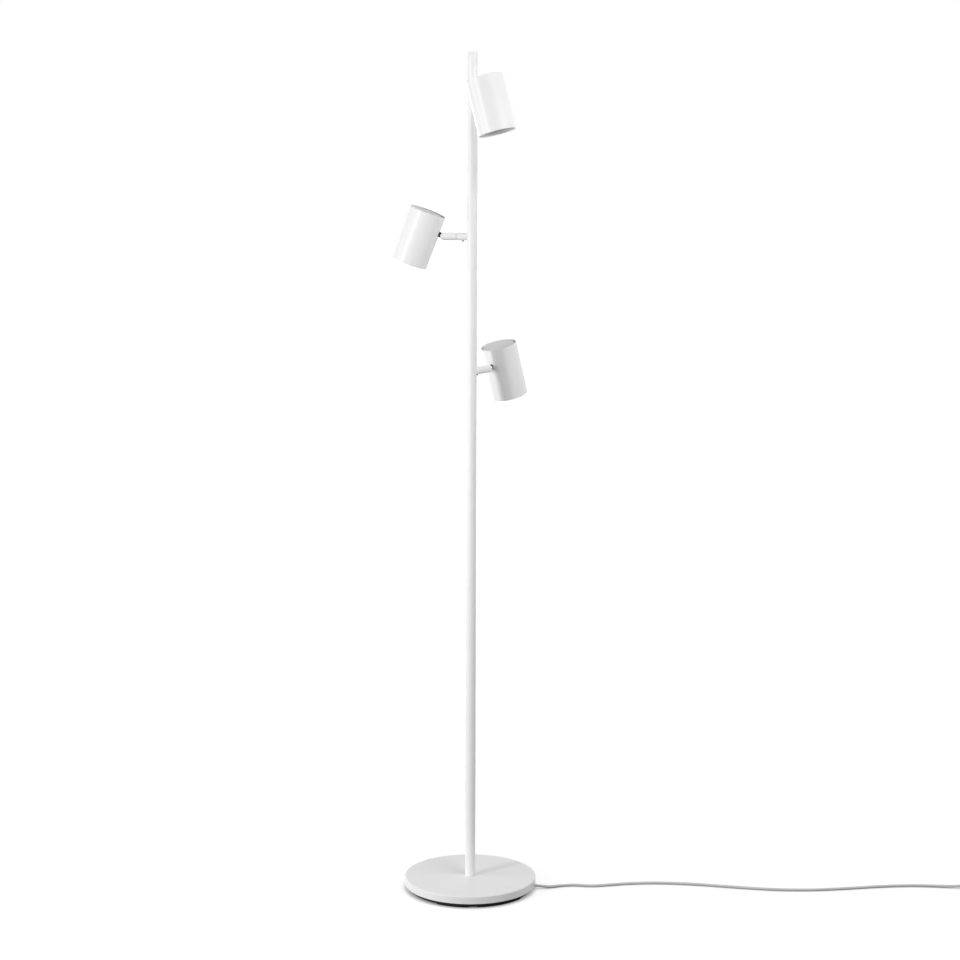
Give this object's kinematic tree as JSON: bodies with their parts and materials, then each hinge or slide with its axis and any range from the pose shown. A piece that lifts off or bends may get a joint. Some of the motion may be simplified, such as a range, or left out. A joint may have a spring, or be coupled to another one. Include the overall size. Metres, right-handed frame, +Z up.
{
  "type": "tree floor lamp",
  "caption": "Slim round pole on a weighted disc base, carrying cylindrical spot heads on short arms that swivel and tilt, with a lead, foot switch and plug.",
  "frame": {"origin": "on the floor at the middle of the round base, on the pole's axis", "axes": "+Z up along the pole, +X to the right towards the side where the lead leaves, +Y away from someone standing in front"},
  "size_m": [1.2511, 0.2564, 1.55],
  "materials": {
    "white_paint": "satin powder coat",
    "cap_paint": "satin powder coat",
    "black_paint": "matt powder coat",
    "cast_iron": "sand cast, primed",
    "black_plastic": "fine grain moulding",
    "pad_rubber": "matt",
    "zinc_steel": "zinc plated",
    "pin_steel": "turned",
    "dark_steel": "black oxide",
    "holder_ceramic": "glazed ceramic",
    "lens_glass": "frosted",
    "bulb_glass": "moulded reflector body",
    "white_plastic": "soft satin",
    "wire_jacket": "smooth",
    "clear_nylon": "natural nylon",
    "tie_plastic": "smooth",
    "pin_brass": "nickelled"
  },
  "bodies": {
    "root": {"arm_stub_1": "white_paint", "arm_stub_2": "white_paint", "arm_stub_3": "white_paint", "base_cover": "black_plastic", "base_disc": "white_paint", "base_nut": "zinc_steel", "base_stud": "zinc_steel", "base_washer": "zinc_steel", "base_weight": "cast_iron", "cord_coil": "white_plastic", "cord_gland": "white_plastic", "cord_run": "white_plastic", "cord_tie": "tie_plastic", "cover_screws": "zinc_steel", "foot_pads": "pad_rubber", "inner_lead": "white_plastic", "plug_body": "white_plastic", "plug_pins": "pin_brass", "pole_cap": "white_paint", "pole_coupler_lower": "zinc_steel", "pole_coupler_upper": "zinc_steel", "pole_foot_plug": "zinc_steel", "pole_lower": "white_paint", "pole_middle": "white_paint", "pole_upper": "white_paint", "riser_wire": "wire_jacket", "stop_screws": "dark_steel", "switch_base": "white_plastic", "switch_cover": "white_plastic", "terminal_block": "clear_nylon"},
    "swivel_1": {"swivel_arm_1": "white_paint", "knuckle_pin_1": "pin_steel"},
    "spot_1": {"head_bracket_1": "black_paint", "shade_1": "white_paint", "rear_cap_1": "cap_paint", "lampholder_1": "holder_ceramic", "bulb_1": "bulb_glass", "bulb_lens_1": "lens_glass"},
    "swivel_2": {"swivel_arm_2": "white_paint", "knuckle_pin_2": "pin_steel"},
    "spot_2": {"head_bracket_2": "black_paint", "shade_2": "white_paint", "rear_cap_2": "cap_paint", "lampholder_2": "holder_ceramic", "bulb_2": "bulb_glass", "bulb_lens_2": "lens_glass"},
    "swivel_3": {"swivel_arm_3": "white_paint", "knuckle_pin_3": "pin_steel"},
    "spot_3": {"head_bracket_3": "black_paint", "shade_3": "white_paint", "rear_cap_3": "cap_paint", "lampholder_3": "holder_ceramic", "bulb_3": "bulb_glass", "bulb_lens_3": "lens_glass"},
    "foot_button": {"switch_button": "white_plastic"}
  },
  "joints": [
    {"name": "swivel_1", "type": "hinge", "parent": "root", "child": "swivel_1", "pos_m": [0.0087, -0.02693, 1.4663], "axis": [0.3074, -0.9516, 0], "range_deg": [-156.2, 133.8]},
    {"name": "tilt_1", "type": "hinge", "parent": "swivel_1", "child": "spot_1", "pos_m": [0.01604, -0.04967, 1.4663], "axis": [-0.9335, -0.3015, -0.1942], "range_deg": [-51.9, 78.1]},
    {"name": "swivel_2", "type": "hinge", "parent": "root", "child": "swivel_2", "pos_m": [-0.02772, 0.00569, 1.2222], "axis": [-0.9796, 0.2011, 0], "range_deg": [-145.5, 144.5]},
    {"name": "tilt_2", "type": "hinge", "parent": "swivel_2", "child": "spot_2", "pos_m": [-0.05113, 0.0105, 1.2222], "axis": [0.2011, 0.9795, -0.0087], "range_deg": [-60.7, 69.3]},
    {"name": "swivel_3", "type": "hinge", "parent": "root", "child": "swivel_3", "pos_m": [0.01699, 0.02263, 0.9781], "axis": [0.6004, 0.7997, 0], "range_deg": [-140.2, 149.8]},
    {"name": "tilt_3", "type": "hinge", "parent": "swivel_3", "child": "spot_3", "pos_m": [0.03134, 0.04174, 0.9781], "axis": [0.7969, -0.5983, 0.0837], "range_deg": [-55.3, 74.7]},
    {"name": "switch_press", "type": "slide", "parent": "root", "child": "foot_button", "axis": [0, 0, -1], "range_m": [0, 0.003], "stiffness_N_per_m": 1500, "springref_m": -0.001}
  ]
}
